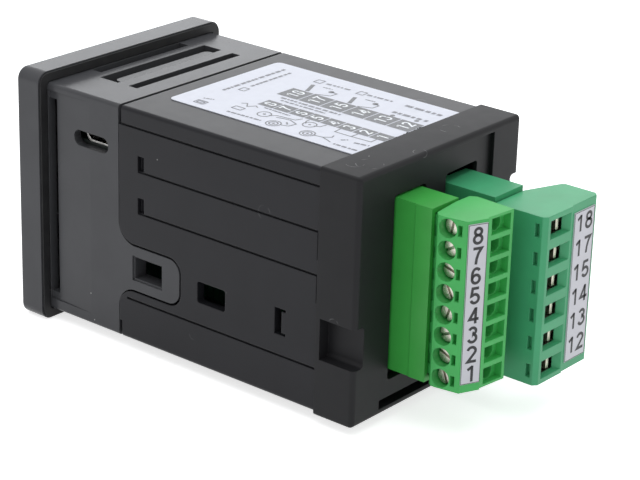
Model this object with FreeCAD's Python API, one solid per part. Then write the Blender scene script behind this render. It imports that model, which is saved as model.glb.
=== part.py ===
"""Panel-mounted temperature controller, 48 x 48 mm front, with two pull-off terminal plugs.

Millimetres. The origin is the centre of the panel plane, where the bezel's rear face bears on
the panel. The display faces -Y, the terminals are at +Y and +Z is up.
"""
import FreeCAD, Part
import math
import os

V = FreeCAD.Vector
ALONG_X = V(1, 0, 0)
ALONG_Y = V(0, 1, 0)
ALONG_Z = V(0, 0, 1)

# Enclosure
BEZEL_SIDE = 48.0            # square bezel, across the flats
BEZEL_DEPTH = 5.5            # bezel in front of the panel
BEZEL_CORNER = 2.2           # outer corner radius of the bezel
BEZEL_EDGE = 0.6             # rounded front edge
BEZEL_FLANGE = 2.0           # the bezel stands this far outside the body, all round
FRONT_WALL = 1.8             # wall that holds the window and the keys
BODY_CORNER = 0.7
BODY_WALL = 1.8
SEAM_Y = 18.0                # front housing ends, sleeve begins
SLEEVE_END = 64.1            # sleeve ends, rear cover begins
COVER_END = 72.5
COVER_PROUD = 0.4            # the cover stands this far outside the sleeve
COVER_WALL = 1.6
COVER_CORNER = 0.6
COVER_EDGE = 0.9             # rounded rear edge
COVER_FLANGE = 1.0           # solid rim of the cover behind the sleeve's end
REAR_WALL = 1.5
SEAM_GAP = 0.12              # between mouldings that butt together
SEAM_CORNER_GAP = 0.75       # wider seam along the top, the bottom and the corners
SEAM_CORNER_BAND = 3.2       # width of that band on the side walls
LIP_LENGTH = 2.5             # lips that enter the sleeve at both ends
LIP_WALL = 1.2
FIT = 0.15                   # clearance between nested mouldings
OVER = 1.0                   # cutters run this far past the faces they open
MERGE = 0.2                  # pieces of one moulding sink this far into each other
HOLE_CORNER = 0.5            # corners of the holes and recesses in the mouldings
TOLERANCE = 1e-6

# Panel gasket
GASKET_INSET = 0.3           # inside the bezel's outline
GASKET_DEPTH = 0.4

# Window, displays and keys, on the front wall
WINDOW_MARGIN = 4.0          # from the window to the bezel's sides and top
WINDOW_KEY_GAP = 3.5         # from the window to the keys
WINDOW_DEPTH = 1.1
WINDOW_LEDGE = 1.5           # width of the step that carries the window
WINDOW_INSET = 0.1           # window face behind the bezel's face
WINDOW_CORNER = 1.2
DISPLAY_BOARD_Y = 3.0        # front face of the display board
DISPLAY_BOARD_GAP = 0.3      # between the display board and the walls
POST_OVERLAP = 1.3           # corner posts reach this far under the display board
BOARD = 1.6                  # thickness of a circuit board
DISPLAY_GAP = 0.3            # behind the window
DISPLAY_MARGIN = 2.5         # from the displays to the window's edges
DISPLAY_ROW_GAP = 2.0        # between the two displays
SETPOINT_SHARE = 0.37        # part of the height that the lower display takes
LED_COLUMN = 7.5             # from the window's edge to the displays, with room for the lamps
LED_INSET = 3.9              # from the window's edge to the middle of a lamp's base
LED_WIDTH = 1.0
LED_HEIGHT = 2.0
KEY_COUNT = 4
KEY_MARGIN = 5.6             # from the row of keys to the bezel's sides
KEY_RISE = 6.6               # from the bezel's lower edge to the keys
KEY_GAP = 1.6                # between two keys
KEY_HEIGHT = 6.4
KEY_CORNER = 1.2
KEY_EDGE = 0.4               # chamfer round the key's face
KEY_PROUD = 0.6              # key face in front of the bezel
KEY_SIDE_GAP = 0.25
KEY_COLLAR = 0.6             # collar that keeps the key behind the front wall
KEY_COLLAR_DEPTH = 0.8
KEY_STEM_RADIUS = 1.3
KEY_TRAVEL = 0.5
SWITCH_SIDE = 6.0
SWITCH_DEPTH = 3.5
PLUNGER_RADIUS = 1.6
PLUNGER_PROUD = 1.0
PLUNGER_GAP = 0.3
PLUNGER_LENGTH = 1.5

# Side relief and slot behind the bezel, vents in the top and the bottom of the front housing
RELIEF_END = 11.0
RELIEF_DEPTH = 0.35
RELIEF_TOP = 1.3             # below the top of the body
RELIEF_BOTTOM = 2.2          # above the underside of the body
SIDE_SLOT_Y = (0.5, 2.45)
SIDE_SLOT_INSET = 1.45       # the slot is this much shorter than the relief at both ends
VENT_MARGIN = 8.8            # from the vents to the body's +X side
VENT_FAR_MARGIN = 7.5        # the same at the -X side
VENT_FRONT_INSET = 2.2       # the front vent is shorter at both ends
VENT_FRONT_Y = (0.5, 2.85)
VENT_MIDDLE_Y = (4.9, 9.3)
VENT_REAR_Y = (12.0, 14.0)
TAB_Y = 6.9                  # front edge of the tab that lies inside the middle vent
TAB_INSET = 1.5              # from the vent's ends to the tab
TAB_CORNER = 1.2
TAB_DROP = 0.35              # the tab lies lower than the wall

# Snap tongues, one on each side, a half turn apart about Y; a rise is above the underside
TONGUE_END = 32.7
TONGUE_RISE = 10.0
TONGUE_HEIGHT = 8.4
TONGUE_ROOT_RADIUS = 4.0
TONGUE_TIP_RADIUS = 2.5
TONGUE_GAP = 0.4
TONGUE_WINDOW_Y = (21.7, 28.2)
TONGUE_WINDOW_RISE = 12.2
TONGUE_WINDOW_HEIGHT = 4.05
TONGUE_WINDOW_STEP = 0.35    # width and depth of the step round the window

# Features in the side walls of the sleeve, also repeated by a half turn
GROOVE_WIDTH = 0.4
GROOVE_DEPTH = 0.4
UPPER_GROOVE_DROP = 3.25     # below the top of the body
LOWER_GROOVE_RISE = 8.0
LOWER_GROOVE_START = 20.0
BRACKET_DROPS = (11.2, 19.0)
BRACKET_Y = (22.7, 24.2)
BRACKET_HEIGHT = 2.9
BRACKET_DEPTH = 0.9
END_GAP_HEIGHT = 5.0
END_GAP = 0.3
SIDE_HOLE_Y = (37.0, 43.5)
SIDE_HOLE_RISE = 12.2
SIDE_HOLE_HEIGHT = 4.0
CATCH_SLOT_Y = (54.75, 56.3)
CATCH_SLOT_RISE = 11.8
CATCH_SLOT_HEIGHT = 4.9
CATCH_SERIF = 0.9
CATCH_SERIF_HEIGHT = 0.5

# Rear cover
NOTCH_RISE = 10.2
NOTCH_HEIGHT = 7.5
NOTCH_START = 0.9            # behind the cover's front edge
NOTCH_DEPTH = 2.4
NOTCH_CORNER = 0.8
OPENING_CORNER = 0.7         # corners of the openings for the headers
COVER_SLOT_MARGIN = 6.8      # from the slot along the bottom to the body's sides
COVER_SLOT_RISE = 0.8
COVER_SLOT_HEIGHT = 1.7
COVER_SLOT_DEPTH = 2.7
HEADER_ROOM = 0.4            # cover opening around a header, screw side
HEADER_ROOM_BOARD = 1.0      # the same, board side
HEADER_ROOM_END = 1.9        # the same, at one end

# Label on the top of the sleeve
LABEL_MARGIN = 8.5           # from the label to the body's +X side
LABEL_FAR_MARGIN = 5.8       # the same at the -X side
LABEL_START = 4.0            # behind the seam
LABEL_THICKNESS = 0.12
LABEL_CORNER = 1.2

# Boards that stand upright along the enclosure
BOARD_EDGE_GAP = 1.6         # from the boards to the top and bottom walls
BOARD_START = 4.75           # just behind the display board
BOARD_END = 69.2
SIGNAL_FACE = 5.6            # x of the face that carries the signal header
POWER_FACE = -2.05           # x of the face that carries the power header
RAIL_WALL = 1.0
RAIL_HEIGHT = 2.4
RAIL_Y = (21.0, 60.0)

# Programming port
PORT_Y = 11.8
PORT_Z = 13.9
PORT_WIDTH = 7.0
PORT_HEIGHT = 2.45
PORT_LENGTH = 5.0
PORT_SHELL = 0.35
PORT_TONGUE_HALF_WIDTH = 1.85
PORT_TONGUE_HALF_HEIGHT = 0.3
PORT_TONGUE_RISE = 0.25      # tongue above the middle of the port
PORT_TONGUE_RECESS = 0.6     # tongue behind the mouth
PORT_BOARD = 1.2
PORT_BOARD_DEPTH = 11.5
PORT_BOARD_END = 15.2
PORT_HOLE_Y = (6.9, 15.5)
PORT_HOLE_Z = 13.5
PORT_HOLE_HEIGHT = 2.9
PORT_HOLE_CORNER = 1.4

# Components on the two upright boards; heights stand out from the board's face
SOCKET_LENGTH = 2.5
SOCKET_Z = (-12.0, 8.0)
SOCKET_HEIGHT = 2.5
PROCESSOR_Y = (24.0, 34.0)
PROCESSOR_Z = (2.0, 12.0)
PROCESSOR_HEIGHT = 1.4
CONVERTER_Y = (48.0, 58.0)
CONVERTER_Z = (-3.5, 4.0)
CONVERTER_HEIGHT = 2.3
TRANSFORMER_Y = (9.0, 24.0)
TRANSFORMER_CORE_Z = (-4.5, 4.5)
TRANSFORMER_CORE_HEIGHT = 13.0
BOBBIN_Z = (-9.0, 9.0)
BOBBIN_HEIGHT = 11.5
BOBBIN_INSET = 2.5           # bobbin between the ends of the core
BOBBIN_FOOT = 2.0
RELAY_Y = (28.0, 48.0)
RELAY_Z = ((2.0, 12.0), (-12.0, -2.0))
RELAY_GAP = 1.6              # from the relays to the snap tongue beside them
CAPACITOR_Y = 54.0
CAPACITOR_RADIUS = 4.0
CAPACITOR_Z = (-7.0, 7.0)
CAPACITOR_GAP = 0.3          # between the can and the board
CAPACITOR_FOOT_Z = (-5.0, 5.0)
CAPACITOR_FOOT_HALF = 2.0


class Terminal:
    """One header and its plug. Local x runs from the board's face towards the screws."""

    def __init__(self, **values):
        self.__dict__.update(values)

    @property
    def half(self):
        return self.poles * self.pitch / 2

    @property
    def header_half(self):
        return self.half + self.header_end

    def board_x(self):
        """The board's two faces, in the controller's frame."""
        return (self.face, self.face + BOARD) if self.turned else (self.face - BOARD, self.face)

    def pole_z(self):
        return [(i - (self.poles - 1) / 2) * self.pitch for i in range(self.poles)]

    def place(self, shape):
        """Move a shape from the block's own frame into the controller's frame."""
        placed = shape.copy()
        if self.turned:
            placed.rotate(V(0, 0, 0), V(0, 1, 0), 180)
        placed.translate(V(self.face, 0, self.centre))
        return placed


SIGNAL = Terminal(
    name="signal", numbers=[1, 2, 3, 4, 5, 6, 7, 8], turned=False, face=SIGNAL_FACE, centre=1.05,
    poles=8, pitch=3.81,
    header_y=(70.0, 79.9), header_height=7.15, header_wall=0.9, header_end=0.3, header_step_y=76.5,
    pin=0.8, pin_height=3.5, contact=2.2,
    profile=[(7.1, 80.9), (7.9, 81.7), (7.95, 82.6), (7.25, 87.1), (3.6, 88.7), (3.3, 88.4),
             (-2.8, 89.1), (-3.2, 81.4), (-2.5, 80.3), (1.0, 80.2)],
    strip_face=(3, 4), strip_width=3.6, strip_length=28.4, strip_rise=0.5,
    nose_gap=0.25, nose_ribs=True,
    window=(-2.15, 2.4), window_half=1.45, pocket_y=87.6, throat_half=1.15,
    cage=(-2.3, 4.2), cage_half=1.45, cage_wall=0.45, cage_side=0.3, cage_length=4.0,
    bar_low=True, screw_y=83.6, head_radius=1.4, head_height=1.2, shank_radius=1.0,
    shoulder=0.75, bore_gap=0.25,
    test_slot=(85.85, 0.75, 1.9))

POWER = Terminal(
    name="power", numbers=[18, 17, 15, 14, 13, 12], turned=True, face=POWER_FACE, centre=-1.05,
    poles=6, pitch=5.08,
    header_y=(69.9, 81.9), header_height=8.1, header_wall=1.1, header_end=0.85, header_step_y=None,
    pin=1.0, pin_height=4.0, contact=2.6,
    profile=[(-0.3, 82.2), (-0.3, 91.8), (0.5, 92.5), (7.4, 92.6), (7.7, 92.35), (14.9, 92.35),
             (15.6, 91.6), (15.6, 85.6), (15.1, 85.0), (8.0, 82.2)],
    strip_face=(4, 5), strip_width=6.0, strip_length=27.4, strip_rise=0.0,
    nose_gap=0.25, nose_ribs=False,
    window=(1.15, 7.2), window_half=1.7, pocket_y=None, throat=(1.4, 5.9), throat_half=1.4,
    cage=(1.0, 9.3), cage_half=1.95, cage_wall=0.6, cage_side=0.4, cage_length=4.2,
    bar_low=False, screw_y=89.1, head_radius=1.8, head_height=1.6, shank_radius=1.3,
    shoulder=1.1, bore_gap=0.3,
    test_slot=(90.85, 0.9, 2.4))

BAR = 0.75                   # thickness of the current bar
CAGE_GAP = 0.15              # around a clamp in its chamber
SCREW_GAP = 0.05             # under a screw head, and between its tip and the bar
SHANK_GAP = 0.2              # around a screw's shank
HEADER_BACK = 1.5            # wall of a header towards the board
PLUG_NOSE_END_GAP = 0.5      # between the plug's nose and that wall
PIN_REACH = 6.0              # pin beyond that wall
PIN_BEND = 1.6               # bend from the board's rear edge
PIN_TAIL = 0.9               # pin beyond the board
PIN_HOLE_GAP = 0.1
PIN_Y = BOARD_END - PIN_BEND
CHEEK = 1.8                  # header cheeks that stand on the board
CHEEK_HEIGHT = 3.0
CHEEK_LENGTH = 2.9
CONTACT_WALL = 0.4
TAPER_RIM = 0.1              # floor of the wire pocket around the round taper
STRIP_THICKNESS = 0.2
TEST_SLOT_DEPTH = 1.0
RIB_WIDTH = 1.8
RIB_HEIGHT = 0.3
RIB_START = 1.0              # ribs begin this far behind the nose's tip
HEADER_STEP = 0.15           # the header is thinner in front of its step
NOSE_ROOT = 1.2              # nose runs this far into the plug
CHAMBER_PAST_HEADER = 0.5    # contact chamber past the header's rim
CONTACT_INSET = 0.6          # contact behind the nose's tip
CONTACT_PAST_HEADER = 0.4
BAR_ROOT = 1.5               # the bar's overlap with the contact
BAR_SIDE = 0.1               # the bar is this much narrower than the contact, each side
SLOT_ANGLE = 20              # screwdriver slot of the first screw, degrees
SLOT_STEP = 47               # and how much each next one is turned


# ---------------------------------------------------------------- helpers
def block(x, y, z):
    """Box between the two values of each pair, in any order."""
    low = [min(pair) for pair in (x, y, z)]
    size = [abs(pair[1] - pair[0]) for pair in (x, y, z)]
    return Part.makeBox(*size, V(*low))


def around(value, half):
    return (value - half, value + half)


def grown(pair, gap):
    return (pair[0] - gap, pair[1] + gap)


def union(shapes):
    shapes = list(shapes)
    if len(shapes) == 1:
        return shapes[0]
    return shapes[0].multiFuse(shapes[1:]).removeSplitter()


def group(shapes):
    return Part.makeCompound(list(shapes))


def rod(base, axis, radius, length):
    return Part.makeCylinder(radius, length, base, axis)


def run_along(edge, axis):
    """True if the edge is straight and parallel to the axis."""
    if not isinstance(edge.Curve, Part.Line):
        return False
    return edge.tangentAt(edge.FirstParameter).cross(axis).Length < TOLERANCE


def rounded_block(x, y, z, corner, axis):
    """Box whose edges along the axis are rounded."""
    box = block(x, y, z)
    return box.makeFillet(corner, [e for e in box.Edges if run_along(e, axis)])


def bar_y(half, corner, y):
    """Bar along Y with a rounded square section about the origin."""
    return rounded_block((-half, half), y, (-half, half), corner, ALONG_Y)


def edges_at(shape, y):
    """Edges of a solid that lie in the plane at y."""
    return [e for e in shape.Edges if all(abs(v.Y - y) < TOLERANCE for v in e.Vertexes)]


def round_loop(shape, y, radius):
    return shape.makeFillet(radius, edges_at(shape, y))


def prism_z(points, z):
    """Prism along Z over a polygon given as (x, y) points."""
    corners = [V(x, y, z[0]) for x, y in points]
    return Part.Face(Part.makePolygon(corners + corners[:1])).extrude(V(0, 0, z[1] - z[0]))


def prism_x(points, x):
    """Prism along X over a polygon given as (y, z) points."""
    corners = [V(x[0], y, z) for y, z in points]
    return Part.Face(Part.makePolygon(corners + corners[:1])).extrude(V(x[1] - x[0], 0, 0))


def half_turn(shape):
    """Copy of a shape turned half a turn about Y."""
    turned = shape.copy()
    turned.rotate(V(0, 0, 0), V(0, 1, 0), 180)
    return turned


def both_sides(shapes):
    shapes = list(shapes)
    return shapes + [half_turn(shape) for shape in shapes]


def cut_all(shape, tools):
    return shape.cut(list(tools))


# ---------------------------------------------------------------- front housing
BEZEL_HALF = BEZEL_SIDE / 2
BODY_HALF = BEZEL_HALF - BEZEL_FLANGE
BODY_INNER = BODY_HALF - BODY_WALL
LIP_HALF = BODY_INNER - FIT
LIP_INNER = LIP_HALF - LIP_WALL
FRONT_Y = -BEZEL_DEPTH
FRONT_WALL_BACK = FRONT_Y + FRONT_WALL
KEY_WIDTH = (BEZEL_SIDE - 2 * KEY_MARGIN - (KEY_COUNT - 1) * KEY_GAP) / KEY_COUNT
KEY_Z = -BEZEL_HALF + KEY_RISE + KEY_HEIGHT / 2
WINDOW_HALF = BEZEL_HALF - WINDOW_MARGIN
WINDOW_TOP = WINDOW_HALF
WINDOW_BOTTOM = KEY_Z + KEY_HEIGHT / 2 + WINDOW_KEY_GAP
SWITCH_FACE = DISPLAY_BOARD_Y - SWITCH_DEPTH
PLUNGER_FACE = SWITCH_FACE - PLUNGER_PROUD
DISPLAY_FACE = FRONT_Y + WINDOW_INSET + WINDOW_DEPTH + DISPLAY_GAP
DISPLAY_BOARD_HALF = BODY_INNER - DISPLAY_BOARD_GAP
DISPLAY_TOP = WINDOW_TOP - DISPLAY_MARGIN
DISPLAY_BOTTOM = WINDOW_BOTTOM + DISPLAY_MARGIN
SETPOINT_TOP = DISPLAY_BOTTOM + (DISPLAY_TOP - DISPLAY_BOTTOM - DISPLAY_ROW_GAP) * SETPOINT_SHARE
SETPOINT_Z = (DISPLAY_BOTTOM, SETPOINT_TOP)
PROCESS_Z = (SETPOINT_TOP + DISPLAY_ROW_GAP, DISPLAY_TOP)


def risen(rise, height):
    """Pair of z values that starts a rise above the body's underside."""
    return (-BODY_HALF + rise, -BODY_HALF + rise + height)


def snap_outline(gap):
    """Face of the snap tongue's outline in the plane x = 0, grown outwards by gap."""
    low, high = grown(risen(TONGUE_RISE, TONGUE_HEIGHT), gap)
    tip = TONGUE_END + gap
    root_r = TONGUE_ROOT_RADIUS - gap
    tip_r = TONGUE_TIP_RADIUS + gap
    start = SEAM_Y - LIP_LENGTH

    def arc(centre_y, centre_z, radius, first, last):
        angles = [math.radians(a) for a in (first, (first + last) / 2, last)]
        points = [V(0, centre_y + radius * math.cos(a), centre_z + radius * math.sin(a)) for a in angles]
        return Part.Arc(*points).toShape()

    def line(y0, z0, y1, z1):
        return Part.makeLine(V(0, y0, z0), V(0, y1, z1))

    edges = [
        line(start, high + root_r, SEAM_Y, high + root_r),
        arc(SEAM_Y + root_r, high + root_r, root_r, 180, 270),
        line(SEAM_Y + root_r, high, tip - tip_r, high),
        arc(tip - tip_r, high - tip_r, tip_r, 90, 0),
        line(tip, high - tip_r, tip, low + tip_r),
        arc(tip - tip_r, low + tip_r, tip_r, 0, -90),
        line(tip - tip_r, low, SEAM_Y + root_r, low),
        arc(SEAM_Y + root_r, low - root_r, root_r, 90, 180),
        line(SEAM_Y, low - root_r, start, low - root_r),
        line(start, low - root_r, start, high + root_r),
    ]
    return Part.Face(Part.Wire(edges))


def snap_plate(gap, x):
    """Tongue outline extruded through the side wall between two x values."""
    face = snap_outline(gap)
    face.translate(V(x[0], 0, 0))
    return face.extrude(V(x[1] - x[0], 0, 0))


def top_vents():
    """Cutters for the slots in the top wall; a lowered tab lies in the middle one."""
    z = (BODY_INNER - LIP_WALL, BODY_HALF + OVER)
    x = (-BODY_HALF + VENT_FAR_MARGIN, BODY_HALF - VENT_MARGIN)
    tab = block(grown(x, -TAB_INSET), (TAB_Y, VENT_MIDDLE_Y[1] + OVER), (z[0] - OVER, BODY_HALF - TAB_DROP))
    corners = [e for e in tab.Edges if run_along(e, ALONG_Z) and e.Vertexes[0].Y < TAB_Y + TOLERANCE]
    return [
        block(grown(x, -VENT_FRONT_INSET), VENT_FRONT_Y, z),
        block(x, VENT_MIDDLE_Y, z).cut(tab.makeFillet(TAB_CORNER, corners)),
        block(x, VENT_REAR_Y, z),
    ]


def side_relief():
    """Slot behind the bezel and the shallow wedge in which it lies."""
    z = (-BODY_HALF + RELIEF_BOTTOM, BODY_HALF - RELIEF_TOP)
    points = [(BODY_HALF - RELIEF_DEPTH, SIDE_SLOT_Y[0]), (BODY_HALF + OVER, SIDE_SLOT_Y[0]),
              (BODY_HALF + OVER, RELIEF_END), (BODY_HALF, RELIEF_END)]
    slot = block((BODY_INNER - OVER, BODY_HALF + OVER), SIDE_SLOT_Y, grown(z, -SIDE_SLOT_INSET))
    return [prism_z(points, z), slot]


def key_x():
    return [(i - (KEY_COUNT - 1) / 2) * (KEY_WIDTH + KEY_GAP) for i in range(KEY_COUNT)]


def front_cuts():
    """Cutters for the window pocket, the aperture behind it and the key holes."""
    mouth = FRONT_Y - OVER
    pocket = rounded_block(around(0, WINDOW_HALF), (mouth, FRONT_Y + WINDOW_INSET + WINDOW_DEPTH),
                           (WINDOW_BOTTOM, WINDOW_TOP), WINDOW_CORNER, ALONG_Y)
    aperture = block(around(0, WINDOW_HALF - WINDOW_LEDGE), (mouth, FRONT_WALL_BACK + OVER),
                     (WINDOW_BOTTOM + WINDOW_LEDGE, WINDOW_TOP - WINDOW_LEDGE))
    hole_z = around(KEY_Z, KEY_HEIGHT / 2 + KEY_SIDE_GAP)
    holes = [rounded_block(around(x, KEY_WIDTH / 2 + KEY_SIDE_GAP), (mouth, FRONT_WALL_BACK + OVER),
                           hole_z, KEY_CORNER, ALONG_Y) for x in key_x()]
    return [pocket, aperture] + holes


def side_cuts():
    """Cutters for the port slot, the tongue windows, the side reliefs and the vents."""
    port = rounded_block((BODY_INNER - OVER, BODY_HALF + OVER), PORT_HOLE_Y,
                         around(PORT_HOLE_Z, PORT_HOLE_HEIGHT / 2), PORT_HOLE_CORNER, ALONG_X)
    window_z = risen(TONGUE_WINDOW_RISE, TONGUE_WINDOW_HEIGHT)
    window = block((LIP_INNER - OVER, BODY_HALF + OVER), TONGUE_WINDOW_Y, window_z)
    step = block((BODY_HALF - TONGUE_WINDOW_STEP, BODY_HALF + OVER),
                 grown(TONGUE_WINDOW_Y, TONGUE_WINDOW_STEP), grown(window_z, TONGUE_WINDOW_STEP))
    return [port] + both_sides([window, step] + side_relief() + top_vents())


def bezel_housing():
    """Bezel, front body, entry lip and snap tongues, moulded as one piece."""
    bezel = round_loop(bar_y(BEZEL_HALF, BEZEL_CORNER, (FRONT_Y, 0)), FRONT_Y, BEZEL_EDGE)
    body = bar_y(BODY_HALF, BODY_CORNER, (-MERGE, SEAM_Y))
    lip = bar_y(LIP_HALF, BODY_CORNER, (SEAM_Y - LIP_LENGTH, SEAM_Y + LIP_LENGTH))
    tongues = both_sides([snap_plate(0, (LIP_INNER, BODY_HALF))])
    inner = block(around(0, BODY_INNER), (FRONT_WALL_BACK, SEAM_Y - LIP_LENGTH), around(0, BODY_INNER))
    throat = block(around(0, LIP_INNER), (FRONT_WALL_BACK, TONGUE_END + OVER), around(0, LIP_INNER))
    shape = cut_all(union([bezel, body, lip] + tongues), [inner, throat] + front_cuts() + side_cuts())
    return union([shape] + board_posts())


def board_posts():
    """Four corner posts inside the front body that the display board stands on."""
    near = DISPLAY_BOARD_HALF - POST_OVERLAP
    far = BODY_INNER + MERGE
    y = (FRONT_WALL_BACK - MERGE, DISPLAY_BOARD_Y)
    return [block((sx * near, sx * far), y, (sz * near, sz * far)) for sx in (-1, 1) for sz in (-1, 1)]


def panel_gasket():
    """Flat rubber ring between the bezel and the panel."""
    ring = bar_y(BEZEL_HALF - GASKET_INSET, BEZEL_CORNER - GASKET_INSET, (0, GASKET_DEPTH))
    hole = bar_y(BODY_HALF + FIT, BODY_CORNER, (-OVER, GASKET_DEPTH + OVER))
    return ring.cut(hole)


def display_window():
    front = FRONT_Y + WINDOW_INSET
    return rounded_block(around(0, WINDOW_HALF - FIT), (front, front + WINDOW_DEPTH),
                         (WINDOW_BOTTOM + FIT, WINDOW_TOP - FIT), WINDOW_CORNER, ALONG_Y)


def key_cap(x):
    """Key with a chamfered face, a collar behind the front wall and a stem to its switch."""
    face = FRONT_Y - KEY_PROUD
    collar_start = FRONT_WALL_BACK + FIT
    cap = rounded_block(around(x, KEY_WIDTH / 2), (face, collar_start), around(KEY_Z, KEY_HEIGHT / 2),
                        KEY_CORNER, ALONG_Y)
    collar = block(around(x, KEY_WIDTH / 2 + KEY_COLLAR), (collar_start, collar_start + KEY_COLLAR_DEPTH),
                   around(KEY_Z, KEY_HEIGHT / 2 + KEY_COLLAR))
    stem = rod(V(x, collar_start, KEY_Z), ALONG_Y, KEY_STEM_RADIUS, PLUNGER_FACE - collar_start)
    return union([cap.makeChamfer(KEY_EDGE, edges_at(cap, face)), collar, stem])


def key_switches():
    """Four push switches, each with a well for its plunger."""
    shapes = []
    half = SWITCH_SIDE / 2
    for x in key_x():
        body = block(around(x, half), (SWITCH_FACE, DISPLAY_BOARD_Y), around(KEY_Z, half))
        well = rod(V(x, PLUNGER_FACE, KEY_Z), ALONG_Y, PLUNGER_RADIUS + PLUNGER_GAP,
                   PLUNGER_LENGTH + KEY_TRAVEL)
        shapes.append(body.cut(well))
    return group(shapes)


def switch_plunger(x):
    return rod(V(x, PLUNGER_FACE, KEY_Z), ALONG_Y, PLUNGER_RADIUS, PLUNGER_LENGTH)


def display_board():
    side = around(0, DISPLAY_BOARD_HALF)
    return block(side, (DISPLAY_BOARD_Y, DISPLAY_BOARD_Y + BOARD), side)


def display_module(z):
    x = (-WINDOW_HALF + LED_COLUMN, WINDOW_HALF - DISPLAY_MARGIN)
    return block(x, (DISPLAY_FACE, DISPLAY_BOARD_Y), z)


def indicator_leds():
    """Two square light guides beside each display, standing on the display board."""
    x = around(-WINDOW_HALF + LED_INSET, LED_WIDTH / 2)
    shapes = []
    for low, high in (PROCESS_Z, SETPOINT_Z):
        quarter = (high - low) / 4
        for z in (low + quarter, high - quarter):
            shapes.append(block(x, (DISPLAY_FACE, DISPLAY_BOARD_Y), around(z, LED_HEIGHT / 2)))
    return group(shapes)


# ---------------------------------------------------------------- sleeve and rear cover
def side_features():
    """Cutters for the grooves, brackets and holes in the sleeve's +X wall."""
    deep = (BODY_HALF - GROOVE_DEPTH, BODY_HALF + OVER)
    through = (LIP_INNER - OVER, BODY_HALF + OVER)
    bracket = (BODY_HALF - BRACKET_DEPTH, BODY_HALF + OVER)
    half = GROOVE_WIDTH / 2
    catch_z = risen(CATCH_SLOT_RISE, CATCH_SLOT_HEIGHT)
    tools = [
        block(deep, (SEAM_Y, SLEEVE_END), around(BODY_HALF - UPPER_GROOVE_DROP, half)),
        block(deep, (LOWER_GROOVE_START, SLEEVE_END), around(-BODY_HALF + LOWER_GROOVE_RISE, half)),
        rounded_block(through, SIDE_HOLE_Y, risen(SIDE_HOLE_RISE, SIDE_HOLE_HEIGHT), HOLE_CORNER, ALONG_X),
        block(through, CATCH_SLOT_Y, catch_z),
    ]
    serif_y = (CATCH_SLOT_Y[0], CATCH_SLOT_Y[1] + CATCH_SERIF)
    for z0, direction in zip(catch_z, (1, -1)):
        tools.append(block(through, serif_y, (z0, z0 + direction * CATCH_SERIF_HEIGHT)))
    for drop in BRACKET_DROPS:
        z = BODY_HALF - drop
        tools.append(block(deep, (BRACKET_Y[0], SLEEVE_END), around(z, half)))
        tools.append(block(bracket, BRACKET_Y, (z, z + BRACKET_HEIGHT)))
        tools.append(block(deep, (SLEEVE_END - SEAM_GAP - END_GAP, SLEEVE_END), (z - END_GAP_HEIGHT, z)))
    return tools


def board_rails():
    """Pairs of ribs on the top and bottom walls that guide the two upright boards."""
    rails = []
    for terminal in (SIGNAL, POWER):
        slot = grown(terminal.board_x(), FIT)
        for x in ((slot[0] - RAIL_WALL, slot[0]), (slot[1], slot[1] + RAIL_WALL)):
            for side in (-1, 1):
                z = (side * (BODY_INNER - RAIL_HEIGHT), side * (BODY_INNER + MERGE))
                rails.append(block(x, RAIL_Y, z))
    return rails


def body_sleeve():
    """Square tube with side grooves, latch windows and notches that take the snap tongues."""
    start = SEAM_Y + SEAM_GAP
    far = BODY_HALF + OVER
    band = BODY_HALF - SEAM_CORNER_BAND
    tube = bar_y(BODY_HALF, BODY_CORNER, (start, SLEEVE_END - SEAM_GAP))
    bore = block(around(0, BODY_INNER), (start - OVER, SLEEVE_END), around(0, BODY_INNER))
    seam_y = (start - OVER, SEAM_Y + SEAM_CORNER_GAP)
    wide_seam = [block((-far, far), seam_y, (side * band, side * far)) for side in (-1, 1)]
    notch = snap_plate(TONGUE_GAP, (BODY_INNER - OVER, far))
    tube = cut_all(tube, [bore] + wide_seam + both_sides([notch] + side_features()))
    return union([tube] + board_rails())


def cover_notch(outer):
    """Cutter for the finger notch in the cover's side, rounded along its floor."""
    floor = outer - NOTCH_DEPTH
    notch = block((floor, outer + OVER), (SLEEVE_END + NOTCH_START, COVER_END + OVER),
                  risen(NOTCH_RISE, NOTCH_HEIGHT))
    edges = [e for e in notch.Edges if run_along(e, ALONG_Y) and abs(e.Vertexes[0].X - floor) < TOLERANCE]
    return notch.makeFillet(NOTCH_CORNER, edges)


def rear_cover():
    """Cap that closes the sleeve, with side notches and the openings for the headers."""
    outer = BODY_HALF + COVER_PROUD
    inner = around(0, outer - COVER_WALL)
    cap = round_loop(bar_y(outer, COVER_CORNER, (SLEEVE_END, COVER_END)), COVER_END, COVER_EDGE)
    lip = bar_y(LIP_HALF, BODY_CORNER, (SLEEVE_END - LIP_LENGTH, SLEEVE_END + COVER_FLANGE))
    hollow = block(inner, (SLEEVE_END + COVER_FLANGE, COVER_END - REAR_WALL), inner)
    throat = block(around(0, LIP_INNER), (SLEEVE_END - LIP_LENGTH - OVER, SLEEVE_END + COVER_FLANGE + OVER),
                   around(0, LIP_INNER))
    notch_wall = block(around(outer - NOTCH_DEPTH, COVER_WALL), (SLEEVE_END, COVER_END - REAR_WALL + MERGE),
                       grown(risen(NOTCH_RISE, NOTCH_HEIGHT), COVER_WALL))
    slot = block(around(0, BODY_HALF - COVER_SLOT_MARGIN), (COVER_END - COVER_SLOT_DEPTH, COVER_END + OVER),
                 risen(COVER_SLOT_RISE, COVER_SLOT_HEIGHT))
    shape = union([cut_all(union([cap, lip]), [hollow, throat])] + both_sides([notch_wall]))
    openings = [header_opening(terminal) for terminal in (SIGNAL, POWER)]
    return cut_all(shape, [slot] + both_sides([cover_notch(outer)]) + openings)


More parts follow.
